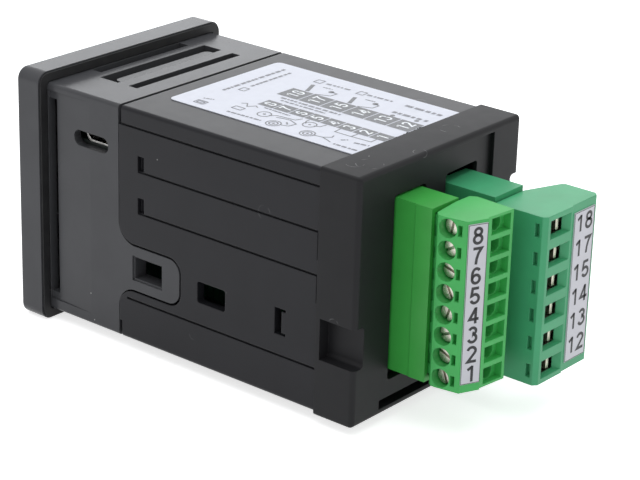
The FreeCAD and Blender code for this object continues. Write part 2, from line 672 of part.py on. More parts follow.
def header_opening(terminal):
    """Opening in the rear cover around a header, longer at one end."""
    half = terminal.header_half
    tool = rounded_block((-HEADER_ROOM_BOARD, terminal.header_height + HEADER_ROOM),
                         (SLEEVE_END, COVER_END + OVER),
                         (-half - HEADER_ROOM_END, half + HEADER_ROOM), OPENING_CORNER, ALONG_Y)
    return terminal.place(tool)


def wiring_label():
    """Thin label on top of the sleeve; its rear edge meets the rear cover."""
    z = (BODY_HALF, BODY_HALF + LABEL_THICKNESS)
    x = (-BODY_HALF + LABEL_FAR_MARGIN, BODY_HALF - LABEL_MARGIN)
    start = SEAM_Y + LABEL_START
    plate = block(x, (start, SLEEVE_END - SEAM_GAP), z)
    front = [e for e in plate.Edges if run_along(e, ALONG_Z) and e.Vertexes[0].Y < start + TOLERANCE]
    return plate.makeFillet(LABEL_CORNER, front)


# ---------------------------------------------------------------- boards and electronics
PORT_MOUTH_X = BODY_INNER - FIT


def upright_board(t):
    """Circuit board beside a header, pierced for the header's pins."""
    board = block(t.board_x(), (BOARD_START, BOARD_END), around(0, BODY_INNER - BOARD_EDGE_GAP))
    half = t.pin / 2 + PIN_HOLE_GAP
    x = (-BOARD - OVER, OVER)
    return cut_all(board, [t.place(block(x, around(PIN_Y, half), around(z, half))) for z in t.pole_z()])


def on_signal_board(y, z, height):
    """Box-shaped component on the signal board's face."""
    return block((SIGNAL_FACE, SIGNAL_FACE + height), y, z)


def on_power_board(y, z, height):
    """Box-shaped component on the power board's face."""
    return block((POWER_FACE - height, POWER_FACE), y, z)


def board_connectors():
    """Sockets that join the two upright boards to the display board."""
    y = (BOARD_START - FIT, BOARD_START - FIT + SOCKET_LENGTH)
    return group([on_board(y, SOCKET_Z, SOCKET_HEIGHT) for on_board in (on_signal_board, on_power_board)])


def transformer():
    """Wound bobbin between two core halves."""
    bobbin = on_power_board(grown(TRANSFORMER_Y, -BOBBIN_INSET), BOBBIN_Z, BOBBIN_HEIGHT)
    core = on_power_board(TRANSFORMER_Y, TRANSFORMER_CORE_Z, TRANSFORMER_CORE_HEIGHT)
    foot = on_power_board(TRANSFORMER_Y, BOBBIN_Z, BOBBIN_FOOT)
    return union([bobbin, core, foot])


def output_relay(z):
    """Relay that reaches from the power board nearly to the side wall."""
    body = on_power_board(RELAY_Y, z, LIP_INNER + POWER_FACE - RELAY_GAP)
    return body.makeFillet(HOLE_CORNER, [e for e in body.Edges if run_along(e, ALONG_X)])


def filter_capacitor():
    """Can that lies along the board on a foot."""
    base = V(POWER_FACE - CAPACITOR_RADIUS - CAPACITOR_GAP, CAPACITOR_Y, CAPACITOR_Z[0])
    can = rod(base, ALONG_Z, CAPACITOR_RADIUS, CAPACITOR_Z[1] - CAPACITOR_Z[0])
    foot = on_power_board(around(CAPACITOR_Y, CAPACITOR_FOOT_HALF), CAPACITOR_FOOT_Z, CAPACITOR_RADIUS)
    return union([can, foot])


def port_board():
    """Small board that stands on the display board and carries the port."""
    top = PORT_Z - PORT_HEIGHT / 2
    return block((PORT_MOUTH_X - PORT_BOARD_DEPTH, PORT_MOUTH_X), (DISPLAY_BOARD_Y + BOARD, PORT_BOARD_END),
                 (top - PORT_BOARD, top))


def port_section(inset):
    """Section of the port in the plane x = 0, flat on top and narrower at the base."""
    half = PORT_WIDTH / 2 - inset
    low = PORT_Z - PORT_HEIGHT / 2 + inset
    high = PORT_Z + PORT_HEIGHT / 2 - inset
    taper = PORT_HEIGHT / 3
    return [(PORT_Y - half, high), (PORT_Y + half, high), (PORT_Y + half, low + taper),
            (PORT_Y + half - taper, low), (PORT_Y - half + taper, low), (PORT_Y - half, low + taper)]


def usb_port():
    """Folded steel shell of the programming port, open towards the side wall."""
    back = PORT_MOUTH_X - PORT_LENGTH
    shell = prism_x(port_section(0), (back, PORT_MOUTH_X))
    return shell.cut(prism_x(port_section(PORT_SHELL), (back + PORT_SHELL, PORT_MOUTH_X + OVER)))


def usb_tongue():
    back = PORT_MOUTH_X - PORT_LENGTH + PORT_SHELL
    return block((back, PORT_MOUTH_X - PORT_TONGUE_RECESS), around(PORT_Y, PORT_TONGUE_HALF_WIDTH),
                 around(PORT_Z + PORT_TONGUE_RISE, PORT_TONGUE_HALF_HEIGHT))


# ---------------------------------------------------------------- terminal blocks
def header_housing(t):
    """Open box that takes the plug's nose, with two cheeks that stand on the board."""
    start, end = t.header_y
    half = t.header_half
    box = block((0, t.header_height), t.header_y, (-half, half))
    cavity = block(grown((0, t.header_height), -t.header_wall), (start + HEADER_BACK, end + OVER),
                   around(0, half - t.header_wall))
    cheek_y = (BOARD_END - CHEEK_LENGTH, start + MERGE)
    cheeks = [block((0, CHEEK_HEIGHT), cheek_y, (side * (half - CHEEK), side * half)) for side in (-1, 1)]
    pin_half = t.pin / 2 + PIN_HOLE_GAP
    pin_x = around(t.pin_height, pin_half)
    tools = [cavity] + [block(pin_x, (start - OVER, end), around(z, pin_half)) for z in t.pole_z()]
    if t.header_step_y:
        step_x = (t.header_height - HEADER_STEP, t.header_height + OVER)
        tools.append(block(step_x, (start - OVER, t.header_step_y), around(0, half + OVER)))
    return t.place(cut_all(union([box] + cheeks), tools))


def header_pins(t):
    """Right-angled pins: soldered through the board, then through the header's back wall."""
    half = t.pin / 2
    tip = t.header_y[0] + HEADER_BACK + PIN_REACH
    pins = []
    for z in t.pole_z():
        leg = block((-BOARD - PIN_TAIL, t.pin_height + half), around(PIN_Y, half), around(z, half))
        blade = block(around(t.pin_height, half), (PIN_Y - half, tip), around(z, half))
        pins.append(union([leg, blade]))
    return t.place(group(pins))


def nose_start(t):
    return t.header_y[0] + HEADER_BACK + PLUG_NOSE_END_GAP


def contact_x(t):
    return around(t.pin_height, t.contact / 2)


def bar_x(t):
    """Current bar, in line with the lower or the upper wall of the contact."""
    low, high = contact_x(t)
    return (low, low + BAR) if t.bar_low else (high - BAR, high)


def cage_y(t):
    return around(t.screw_y, t.cage_length / 2)


def head_seat(t):
    """Height of the shoulder that stops the screw's head."""
    return t.cage[1] + CAGE_GAP + t.shoulder


def plug_face(t):
    """Greatest local x of the plug, on the screw side."""
    return max(x for x, y in t.profile)


def square_taper(t, z, rear, inner):
    """Cutter that narrows from the window in the rear face to a throat at the clamp."""
    rings = []
    for x, half, y in ((t.window, t.window_half, rear), (t.throat, t.throat_half, inner)):
        corners = [V(x[0], y, z - half), V(x[1], y, z - half), V(x[1], y, z + half), V(x[0], y, z + half)]
        rings.append(Part.makePolygon(corners + corners[:1]))
    return Part.makeLoft(rings, True)


def round_taper(t, z, rear, inner):
    """Cutter for a square pocket in the rear face and a cone from its floor to the clamp."""
    pocket = block(t.window, (t.pocket_y, rear), around(z, t.window_half))
    base = V(sum(t.window) / 2, t.pocket_y + MERGE, z)
    cone = Part.makeCone(t.window_half - TAPER_RIM, t.throat_half, base.y - inner, base, -ALONG_Y)
    return pocket.fuse(cone)


def wire_entry(t, z):
    rear = max(y for x, y in t.profile) + MERGE
    inner = cage_y(t)[1]
    if t.pocket_y is None:
        return square_taper(t, z, rear, inner)
    return round_taper(t, z, rear, inner)


def test_slot(t, z):
    """Shallow slot beside the screw, for a test probe."""
    slot_y, width, height = t.test_slot
    if t.turned:
        face = t.profile[0][0]
        x = (face - OVER, face + TEST_SLOT_DEPTH)
    else:
        x = (t.profile[3][0] - TEST_SLOT_DEPTH, plug_face(t) + OVER)
    return block(x, around(slot_y, width / 2), around(z, height / 2))


def pole_cuts(t, z):
    """Everything hollow in one pole: chamber, wire entry, contact hole, screw hole and test slot."""
    seat = head_seat(t)
    rim = t.header_y[1]
    half = t.contact / 2 + FIT
    chamber_z = around(z, t.cage_half + CAGE_GAP)
    chamber = block(grown(t.cage, CAGE_GAP), grown(cage_y(t), CAGE_GAP), chamber_z)
    contact_y = (nose_start(t) - OVER, rim + CHAMBER_PAST_HEADER)
    contact = block(grown(contact_x(t), FIT), contact_y, around(z, half))
    bar = block(grown(bar_x(t), FIT), (rim, t.screw_y), around(z, half - BAR_SIDE))
    head = rod(V(seat, t.screw_y, z), ALONG_X, t.head_radius + t.bore_gap, plug_face(t) - seat + OVER)
    shank = rod(V(t.cage[1], t.screw_y, z), ALONG_X, t.shank_radius + SHANK_GAP, seat - t.cage[1] + MERGE)
    return [chamber, wire_entry(t, z), contact, bar, head, shank, test_slot(t, z)]


def plug_housing(t):
    """Plug body extruded along the row of poles, with its nose and every pole's cavities."""
    pieces = [prism_z(t.profile, (-t.half, t.half))]
    nose_x = grown((0, t.header_height), -t.header_wall - t.nose_gap)
    if t.nose_ribs:
        nose_x = (nose_x[0], nose_x[1] - RIB_HEIGHT)
        rib_x = (nose_x[1] - MERGE, nose_x[1] + RIB_HEIGHT)
        rib_y = (nose_start(t) + RIB_START, t.header_y[1] + NOSE_ROOT)
        pieces += [block(rib_x, rib_y, around(z, RIB_WIDTH / 2)) for z in t.pole_z()]
    pieces.append(block(nose_x, (nose_start(t), t.header_y[1] + NOSE_ROOT),
                        around(0, t.header_half - t.header_wall - t.nose_gap)))
    cuts = [tool for z in t.pole_z() for tool in pole_cuts(t, z)]
    return t.place(cut_all(union(pieces), cuts))


def plug_contacts(t):
    """Spring contact and current bar of every pole, each folded from one strip."""
    half = t.contact / 2
    tube_y = (nose_start(t) + CONTACT_INSET, t.header_y[1] + CONTACT_PAST_HEADER)
    shapes = []
    for z in t.pole_z():
        tube = block(contact_x(t), tube_y, around(z, half))
        bore = block(grown(contact_x(t), -CONTACT_WALL), grown(tube_y, OVER), around(z, half - CONTACT_WALL))
        bar = block(bar_x(t), (tube_y[1] - BAR_ROOT, cage_y(t)[1]), around(z, half - BAR_SIDE))
        shapes.append(union([tube.cut(bore), bar]))
    return t.place(group(shapes))


def plug_clamps(t):
    """Square clamp cages around the current bars, each tapped for its screw."""
    shapes = []
    tap_start = t.cage[1] - t.cage_wall - MERGE
    for z in t.pole_z():
        cage = block(t.cage, cage_y(t), around(z, t.cage_half))
        bore_z = around(z, t.cage_half - t.cage_side)
        bore = block(grown(t.cage, -t.cage_wall), grown(cage_y(t), OVER), bore_z)
        tap = rod(V(tap_start, t.screw_y, z), ALONG_X, t.shank_radius + SHANK_GAP, t.cage_wall + 2 * MERGE)
        shapes.append(cage.cut([bore, tap]))
    return t.place(group(shapes))


def terminal_screw(t, index):
    """Slotted screw: its head bears on the shoulder and its tip ends above the current bar."""
    z = t.pole_z()[index]
    base = head_seat(t) + SCREW_GAP
    tip = bar_x(t)[1] + SCREW_GAP
    top = base + t.head_height
    head = rod(V(base, t.screw_y, z), ALONG_X, t.head_radius, t.head_height)
    shank = rod(V(tip, t.screw_y, z), ALONG_X, t.shank_radius, base - tip + MERGE)
    slot = block((top - t.head_height / 2, top + OVER), around(t.screw_y, t.head_radius / 6),
                 around(z, 2 * t.head_radius))
    slot.rotate(V(0, t.screw_y, z), ALONG_X, SLOT_ANGLE + SLOT_STEP * index)
    return t.place(union([head, shank]).cut(slot))


def number_strip(t):
    """Printed strip on the sloping face beside the wire entries."""
    first, second = (V(*t.profile[i], 0) for i in t.strip_face)
    along = (second - first).normalize()
    outward = V(along.y, -along.x, 0)
    if outward.y < 0:
        outward = outward * -1
    middle = (first + second) * 0.5
    half = t.strip_width / 2
    points = [middle + along * a + outward * b for a, b in
              ((-half, 0), (half, 0), (half, STRIP_THICKNESS), (-half, STRIP_THICKNESS))]
    return t.place(prism_z([(p.x, p.y) for p in points], around(t.strip_rise, t.strip_length / 2)))


# ---------------------------------------------------------------- assembly
def all_parts():
    parts = {
        "bezel_housing": bezel_housing(),
        "panel_gasket": panel_gasket(),
        "display_window": display_window(),
        "key_switches": key_switches(),
        "display_board": display_board(),
        "process_display": display_module(PROCESS_Z),
        "setpoint_display": display_module(SETPOINT_Z),
        "indicator_leds": indicator_leds(),
        "body_sleeve": body_sleeve(),
        "rear_cover": rear_cover(),
        "wiring_label": wiring_label(),
        "signal_board": upright_board(SIGNAL),
        "power_board": upright_board(POWER),
        "board_connectors": board_connectors(),
        "processor": on_signal_board(PROCESSOR_Y, PROCESSOR_Z, PROCESSOR_HEIGHT),
        "input_converter": on_signal_board(CONVERTER_Y, CONVERTER_Z, CONVERTER_HEIGHT),
        "transformer": transformer(),
        "output_relay_1": output_relay(RELAY_Z[0]),
        "output_relay_2": output_relay(RELAY_Z[1]),
        "filter_capacitor": filter_capacitor(),
        "port_board": port_board(),
        "usb_port": usb_port(),
        "usb_tongue": usb_tongue(),
    }
    for key, x in zip(("key_mode", "key_down", "key_up", "key_set"), key_x()):
        parts[key] = key_cap(x)
        parts[key + "_plunger"] = switch_plunger(x)
    for t in (SIGNAL, POWER):
        parts[t.name + "_header"] = header_housing(t)
        parts[t.name + "_header_pins"] = header_pins(t)
        parts[t.name + "_plug"] = plug_housing(t)
        parts[t.name + "_contacts"] = plug_contacts(t)
        parts[t.name + "_clamps"] = plug_clamps(t)
        parts[t.name + "_number_strip"] = number_strip(t)
        for index, number in enumerate(t.numbers):
            parts[f"{t.name}_screw_{number}"] = terminal_screw(t, index)
    return parts


os.makedirs("parts", exist_ok=True)
for node, shape in all_parts().items():
    shape.exportStep(f"parts/{node}.step")
    print(node, len(shape.Solids), round(shape.Volume, 1), shape.isValid())
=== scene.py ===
"""Looks of the panel-mounted temperature controller. Metres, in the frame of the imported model."""

import math
import random

import bmesh
import bpy
from mathutils import Matrix, Vector


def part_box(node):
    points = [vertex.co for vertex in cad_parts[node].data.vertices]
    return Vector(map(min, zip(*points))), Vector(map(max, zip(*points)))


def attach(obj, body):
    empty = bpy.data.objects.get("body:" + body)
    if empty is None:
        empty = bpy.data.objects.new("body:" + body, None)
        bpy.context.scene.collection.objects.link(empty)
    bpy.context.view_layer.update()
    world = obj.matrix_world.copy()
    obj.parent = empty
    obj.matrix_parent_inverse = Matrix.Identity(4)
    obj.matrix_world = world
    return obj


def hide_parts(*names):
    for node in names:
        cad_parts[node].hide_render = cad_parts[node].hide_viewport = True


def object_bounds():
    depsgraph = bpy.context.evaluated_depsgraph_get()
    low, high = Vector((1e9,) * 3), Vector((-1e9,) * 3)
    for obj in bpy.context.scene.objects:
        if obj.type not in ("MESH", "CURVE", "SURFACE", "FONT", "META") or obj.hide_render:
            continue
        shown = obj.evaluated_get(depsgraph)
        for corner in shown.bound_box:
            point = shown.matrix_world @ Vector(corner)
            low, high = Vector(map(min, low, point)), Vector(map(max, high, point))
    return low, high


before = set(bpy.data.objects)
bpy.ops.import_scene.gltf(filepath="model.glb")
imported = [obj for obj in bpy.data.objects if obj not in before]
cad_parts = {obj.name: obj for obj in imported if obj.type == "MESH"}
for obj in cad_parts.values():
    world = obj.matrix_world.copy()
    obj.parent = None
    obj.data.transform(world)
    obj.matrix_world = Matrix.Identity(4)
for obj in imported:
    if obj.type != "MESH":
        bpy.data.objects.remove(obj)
cad_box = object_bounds()

MM = 0.001
SIGNAL_NUMBERS = (1, 2, 3, 4, 5, 6, 7, 8)
POWER_NUMBERS = (12, 13, 14, 15, 17, 18)
KEYS = ("key_mode", "key_down", "key_up", "key_set")
FORWARD = Vector((0, -1, 0))               # to the side that the user faces
UP = Vector((0, 0, 1))

# Camera at the reference viewing angle
CAMERA_PLACE = (0.28961, 0.28149, 0.14842)
CAMERA_TURN = (68.04, -1.59, 129.72)       # degrees
CAMERA_LENS = 127.3
CAMERA_SENSOR = 36.0

# Light: width and depth of each soft box in metres, its place, and its power in watts
WORLD_LEVEL = 0.58
SOFTBOXES = (
    ("overhead", (1.4, 1.4), (0.0, 0.0, 1.1), 8.5),
    ("behind", (1.7, 0.42), (-0.83, -0.8, 0.25), 3.2),
)
LIGHT_COLOUR = (0.94, 0.965, 1.0)
SOFTBOX_AIM = (0.0, 0.035, 0.0)
FLOOR_SIZE = 6.0
FLOOR_COLOUR = (0.88, 0.88, 0.885, 1)
FLOOR_GAP = 0.00005
FLOOR_GLOW = 0.7             # added where the floor is seen, so that it is white round the shadow


# ---------------------------------------------------------------- node materials
GRAIN_PER_MM = 5.0           # cycles of the moulded grain
DUST_PER_MM = 0.22           # cells that may hold a speck of dust
SCRATCH_COLOUR = (0.2, 0.2, 0.205, 1)
DUST_COLOUR = (0.5, 0.5, 0.48, 1)
# painted shadow: the gap under a film's torn edge, black
GAP_SHADOW_BLACK = (0.001, 0.001, 0.001, 1)
TEAR_X = -1.5                # middle of the torn stretch of a film's edge
TEAR_REACH = (7.5, 3.0)      # from there to where the painted shadow under it ends and to where it is full


class Look:
    """A procedural material: a Principled shader and short calls that add nodes in front of it."""

    def __init__(self, name, **constants):
        self.material = bpy.data.materials.new(name)
        self.material.use_nodes = True
        self.tree = self.material.node_tree
        self.shader = self.tree.nodes["Principled BSDF"]
        for label, value in constants.items():
            self.shader.inputs[label.replace("_", " ")].default_value = value
        place = self.tree.nodes.new("ShaderNodeTexCoord")
        self.mm = self.add("ShaderNodeVectorMath", operation="SCALE", Vector=place.outputs["Object"],
                           Scale=1 / MM).outputs[0]

    def feed(self, socket, value):
        if isinstance(value, bpy.types.NodeSocket):
            self.tree.links.new(value, socket)
        else:
            socket.default_value = value

    def add(self, kind, operation=None, **inputs):
        node = self.tree.nodes.new(kind)
        if operation:
            node.operation = operation
        for label, value in inputs.items():
            self.feed(node.inputs[label.replace("_", " ")], value)
        return node

    def noise(self, scale, detail=2.0, rough=0.5, stretch=(1, 1, 1), shift=0.0):
        """Noise whose scale is in cycles per millimetre."""
        place = self.add("ShaderNodeVectorMath", operation="MULTIPLY", Vector=self.mm)
        place.inputs[1].default_value = stretch
        moved = self.add("ShaderNodeVectorMath", operation="ADD", Vector=place.outputs[0])
        moved.inputs[1].default_value = (shift, shift, shift)
        return self.add("ShaderNodeTexNoise", Vector=moved.outputs[0], Scale=scale, Detail=detail,
                        Roughness=rough).outputs[0]

    def spread(self, value, low, high, to_low=0.0, to_high=1.0):
        """Map a value from one range to another, clamped."""
        node = self.tree.nodes.new("ShaderNodeMapRange")
        self.feed(node.inputs[0], value)
        for index, number in enumerate((low, high, to_low, to_high), 1):
            node.inputs[index].default_value = number
        return node.outputs[0]

    def math(self, operation, a, b):
        node = self.tree.nodes.new("ShaderNodeMath")
        node.operation = operation
        self.feed(node.inputs[0], a)
        self.feed(node.inputs[1], b)
        return node.outputs[0]

    def mix(self, factor, a, b):
        """Blend of two colours."""
        node = self.tree.nodes.new("ShaderNodeMix")
        node.data_type = "RGBA"
        self.feed(node.inputs[0], factor)
        self.feed(node.inputs[6], a)
        self.feed(node.inputs[7], b)
        return node.outputs[2]

    def set(self, label, value):
        self.feed(self.shader.inputs[label], value)

    def bump(self, height, depth_mm, edge_mm=0.0):
        """Surface relief of that depth, over edges that are softened by edge_mm."""
        node = self.add("ShaderNodeBump", Height=height, Strength=1.0, Distance=depth_mm * MM)
        if edge_mm:
            self.feed(node.inputs["Normal"], self.add("ShaderNodeBevel", Radius=edge_mm * MM).outputs[0])
        self.set("Normal", node.outputs[0])


def shade(colour, factor):
    return tuple(min(1.0, c * factor) for c in colour[:3]) + (1.0,)


def moulded(name, colour, roughness, grain=0.006, edge=0.12, level=0.5, arcs=(), dust=0.0):
    """Injection-moulded plastic: fine eroded grain, uneven gloss, soft edges, curved scratches and dust."""
    look = Look(name, Roughness=roughness, Specular_IOR_Level=level)
    base = look.mix(look.spread(look.noise(0.12, 3.0), 0.35, 0.65), shade(colour, 0.94), shade(colour, 1.06))
    rough = look.spread(look.noise(0.35, 4.0, shift=7.0), 0.3, 0.7, roughness - 0.015, roughness + 0.015)
    height = look.math("MULTIPLY", look.noise(GRAIN_PER_MM, 2.0), grain)
    if arcs:
        base = look.mix(scratches(look, arcs), base, SCRATCH_COLOUR)
    if dust:
        base = look.mix(specks(look, DUST_PER_MM, dust), base, DUST_COLOUR)
    look.set("Base Color", base)
    look.set("Roughness", rough)
    look.bump(height, 1.0, edge)
    return look.material


def scratches(look, arcs):
    """Parts of thin circles, where spheres about some points of the surface cut it."""
    marks = 0.0
    for centre, radius in arcs:
        away = look.add("ShaderNodeVectorMath", operation="DISTANCE", Vector=look.mm)
        away.inputs[1].default_value = centre
        off = look.math("ABSOLUTE", look.math("SUBTRACT", away.outputs["Value"], radius), 0.0)
        marks = look.math("MAXIMUM", marks, look.spread(off, 0.02, 0.08, 0.8, 0.0))
    return look.math("MULTIPLY", marks, look.spread(look.noise(0.45, 2.0, shift=80.0), 0.5, 0.6))


def specks(look, per_mm, size_mm):
    """Sparse round specks: the middles of some of the cells of a Voronoi pattern."""
    cells = look.add("ShaderNodeTexVoronoi", Vector=look.mm, Scale=per_mm)
    spot = look.spread(cells.outputs["Distance"], size_mm * per_mm * 0.6, size_mm * per_mm, 1.0, 0.0)
    split = look.add("ShaderNodeSeparateColor", Color=cells.outputs["Color"])
    return look.math("MULTIPLY", spot, look.spread(split.outputs[0], 0.72, 0.74))


def metal(name, colour, roughness, stretch=(1, 1, 1), edge=0.05, depth=0.004):
    """Plated metal with fine drawn or turned marks and a little tarnish."""
    look = Look(name, Metallic=1.0, Roughness=roughness)
    marks = look.noise(6.0, 4.0, 0.6, stretch)
    tarnish = look.spread(look.noise(0.7, 4.0, shift=3.0), 0.4, 0.75)
    look.set("Base Color", look.mix(tarnish, (*colour, 1), shade(colour, 0.62)))
    look.set("Roughness", look.spread(marks, 0.3, 0.7, roughness * 0.7, roughness * 1.4))
    look.bump(marks, depth, edge)
    return look.material


def film(name, colour, roughness, torn_edge=None):
    """Printed polyester film with a faint ripple; a painted shadow, black and without gloss, lines the gap
    under its torn edge at that y in millimetres.
    """
    look = Look(name, Roughness=roughness)
    tone = look.spread(look.noise(0.6, 3.0, shift=5.0), 0.3, 0.7)
    colours = look.mix(tone, (*colour, 1), shade(colour, 0.96))
    if torn_edge:
        split = look.add("ShaderNodeSeparateXYZ", Vector=look.mm)
        reach = look.spread(look.noise(0.55, 5.0, 0.75), 0.42, 0.62, 0.0, 0.9)
        aside = look.math("ABSOLUTE", look.math("SUBTRACT", split.outputs[0], TEAR_X), 0.0)
        reach = look.math("MULTIPLY", reach, look.spread(aside, *TEAR_REACH))
        # painted shadow in the gap under the torn edge: black, and without gloss
        gap_shadow = look.spread(look.math("ADD", split.outputs[1], reach), torn_edge, torn_edge + 0.08)
        colours = look.mix(gap_shadow, colours, GAP_SHADOW_BLACK)
        look.set("Specular IOR Level", look.spread(gap_shadow, 0.0, 1.0, 0.5, 0.0))
    look.set("Base Color", colours)
    look.bump(look.noise(0.25, 2.0), 0.03)
    return look.material


def ink(name, colour):
    """Printed ink whose cover is slightly uneven."""
    look = Look(name, Roughness=0.5)
    cover = look.spread(look.noise(3.0, 3.0), 0.35, 0.65)
    look.set("Base Color", look.mix(cover, (*colour, 1), shade(colour, 1.35)))
    return look.material


def rubber(name):
    """Smooth dark rubber with a faint bloom."""
    look = Look(name, Roughness=0.6, Specular_IOR_Level=0.35)
    bloom = look.spread(look.noise(0.3, 4.0), 0.35, 0.7)
    look.set("Base Color", look.mix(bloom, (0.011, 0.011, 0.012, 1), (0.02, 0.02, 0.021, 1)))
    look.bump(look.noise(3.0, 2.0), 0.01, 0.1)
    return look.material


def laminate(name, mask, track):
    """Circuit board: solder mask over tracks that run in short straight pieces."""
    look = Look(name, Roughness=0.3)
    tracks = look.add("ShaderNodeTexBrick", Vector=look.mm, Scale=0.35, Mortar_Size=0.08, Mortar_Smooth=0.1,
                      Color1=(*mask, 1), Color2=shade(mask, 1.25), Mortar=(*track, 1))
    look.set("Base Color", tracks.outputs["Color"])
    look.bump(tracks.outputs["Fac"], 0.03)
    return look.material


def smoked(name):
    """Smoked acrylic window."""
    look = Look(name, Transmission_Weight=1.0, IOR=1.49, Roughness=0.04)
    tint = look.spread(look.noise(0.1, 1.0), 0.3, 0.7)
    look.set("Base Color", look.mix(tint, (0.16, 0.155, 0.15, 1), (0.18, 0.172, 0.165, 1)))
    look.bump(look.noise(0.4, 2.0), 0.002, 0.15)
    return look.material


def lens(name, colour):
    """Diffusing lamp or display segment, unlit."""
    look = Look(name, Roughness=0.35, Subsurface_Weight=0.2)
    cloud = look.spread(look.noise(1.5, 2.0), 0.3, 0.7)
    look.set("Base Color", look.mix(cloud, (*colour, 1), shade(colour, 0.85)))
    return look.material


# Scratches: the middle of each, from the upper rear corner on the +X side, and its radius, in millimetres
COVER_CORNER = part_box("rear_cover")[1] / MM
COVER_ARCS = [(COVER_CORNER + Vector(offset), radius) for offset, radius in (
    ((-5.0, -5.2, 0.0), 1.5), ((-6.6, -3.4, 0.0), 2.3), ((-17.0, -1.0, 0.0), 1.2),
    ((0.0, -4.6, -27.0), 1.1), ((-30.0, -4.5, 0.0), 1.9))]
SLEEVE_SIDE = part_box("body_sleeve")[1] / MM
SLEEVE_ARCS = [(SLEEVE_SIDE + Vector(offset), radius) for offset, radius in (
    ((0.0, -28.0, -38.5), 0.7), ((0.0, -12.0, -11.0), 1.3), ((-38.0, -9.0, 0.0), 1.6))]

FRONT = moulded("front_moulding", (0.062, 0.063, 0.068), 0.24, grain=0.003, level=0.2, dust=0.14)
SLEEVE = moulded("sleeve_moulding", (0.0155, 0.0155, 0.0185), 0.3, grain=0.002, edge=0.28, level=0.17,
                 arcs=SLEEVE_ARCS, dust=0.12)
COVER = moulded("cover_moulding", (0.0135, 0.0135, 0.015), 0.5, level=0.19, arcs=COVER_ARCS, dust=0.14)
KEY_PLASTIC = moulded("key_moulding", (0.1, 0.103, 0.108), 0.5, edge=0.2)
DARK_PLASTIC = moulded("dark_moulding", (0.02, 0.02, 0.022), 0.45, edge=0.08)
TERMINAL = {"grain": 0.004, "level": 0.35}
SIGNAL_HEADER_GREEN = moulded("signal_header_green", (0.047, 0.38, 0.06), 0.36, edge=0.22, **TERMINAL)
SIGNAL_PLUG_GREEN = moulded("signal_plug_green", (0.06, 0.465, 0.108), 0.38, edge=0.2, **TERMINAL)
POWER_GREEN = moulded("power_green", (0.06, 0.375, 0.172), 0.38, edge=0.2, **TERMINAL)
NICKEL = metal("nickel", (0.66, 0.62, 0.55), 0.3)
CAGE_STEEL = metal("cage_steel", (0.6, 0.56, 0.5), 0.28, (1, 0.2, 1))
TIN = metal("tinned_brass", (0.7, 0.66, 0.55), 0.3, (1, 0.2, 1))
PORT_STEEL = metal("port_steel", (0.6, 0.59, 0.57), 0.25, (0.2, 1, 1))
GOLD = metal("contact_gold", (0.9, 0.66, 0.3), 0.25, (0.2, 1, 1))
LABEL = film("label_film", (0.66, 0.68, 0.76), 0.42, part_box("wiring_label")[1].y / MM - 0.05)
STRIP = film("strip_film", (0.66, 0.66, 0.71), 0.42)
GREY_INK = ink("grey_ink", (0.15, 0.155, 0.165))
PALE_INK = ink("pale_ink", (0.19, 0.195, 0.215))
BLACK_INK = ink("black_ink", (0.012, 0.012, 0.014))
WHITE_INK = ink("white_ink", (0.72, 0.75, 0.82))
RUBBER = rubber("gasket_rubber")
LAMINATE = laminate("laminate", (0.012, 0.08, 0.04), (0.03, 0.15, 0.075))
# near black board for the service port: painted shade for the inside of the port
DARK_LAMINATE = laminate("dark_laminate", (0.01, 0.013, 0.012), (0.02, 0.026, 0.024))
SMOKED = smoked("smoked_acrylic")
SEGMENT = lens("unlit_segment", (0.34, 0.33, 0.32))
LAMP = lens("unlit_lamp", (0.5, 0.42, 0.34))
DISPLAY_FACE = moulded("display_face", (0.035, 0.035, 0.037), 0.5)
RELAY_BLUE = moulded("relay_blue", (0.03, 0.1, 0.3), 0.35)
CORE = moulded("core_varnish", (0.03, 0.028, 0.027), 0.55, grain=0.03)
CAN = metal("capacitor_sleeve", (0.08, 0.1, 0.22), 0.4)

NODE_LOOKS = {
    "bezel_housing": FRONT, "panel_gasket": RUBBER, "display_window": SMOKED, "key_switches": DARK_PLASTIC,
    "display_board": LAMINATE, "process_display": DISPLAY_FACE, "setpoint_display": DISPLAY_FACE,
    "indicator_leds": LAMP, "body_sleeve": SLEEVE, "rear_cover": COVER, "wiring_label": LABEL,
    "signal_board": LAMINATE, "power_board": LAMINATE, "board_connectors": DARK_PLASTIC,
    "processor": DARK_PLASTIC, "input_converter": DARK_PLASTIC, "transformer": CORE,
    "output_relay_1": RELAY_BLUE, "output_relay_2": RELAY_BLUE, "filter_capacitor": CAN,
    "port_board": DARK_LAMINATE, "usb_port": PORT_STEEL, "usb_tongue": DARK_PLASTIC,
    "signal_header": SIGNAL_HEADER_GREEN, "signal_plug": SIGNAL_PLUG_GREEN,
    "power_header": POWER_GREEN, "power_plug": POWER_GREEN,
}


def look_of(node):
    """The material of a CAD node, by its name or by the kind of piece that its name says."""
    if node in NODE_LOOKS:
        return NODE_LOOKS[node]
    endings = {"_plunger": DARK_PLASTIC, "_header_pins": TIN, "_contacts": TIN, "_clamps": CAGE_STEEL,
               "_number_strip": STRIP}
    for ending, look in endings.items():
        if node.endswith(ending):
            return look
    return NICKEL if "_screw_" in node else KEY_PLASTIC


for node_name, node_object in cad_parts.items():
    node_object.data.materials.clear()
    node_object.data.materials.append(look_of(node_name))


# ---------------------------------------------------------------- the rear cover's sunk panel
PANEL_END = -14.5            # x of the end where the panel is deepest, in millimetres
PANEL_START = 2.0            # x where it comes level with its frame
PANEL_DEPTH = 0.8
PANEL_EDGE = 1.2             # from the panel to the cover's top and bottom
PANEL_CLEAR = 1.0            # how far the cutting wedge stands behind the cover
WELD = 0.0002                # corners nearer than this are one corner
SHARPEST_CURVE = 0.5         # radians between faces that still read as one curve


def new_mesh(name, corners, faces):
    mesh = bpy.data.meshes.new(name)
    mesh.from_pydata(corners, [], faces)
    return mesh


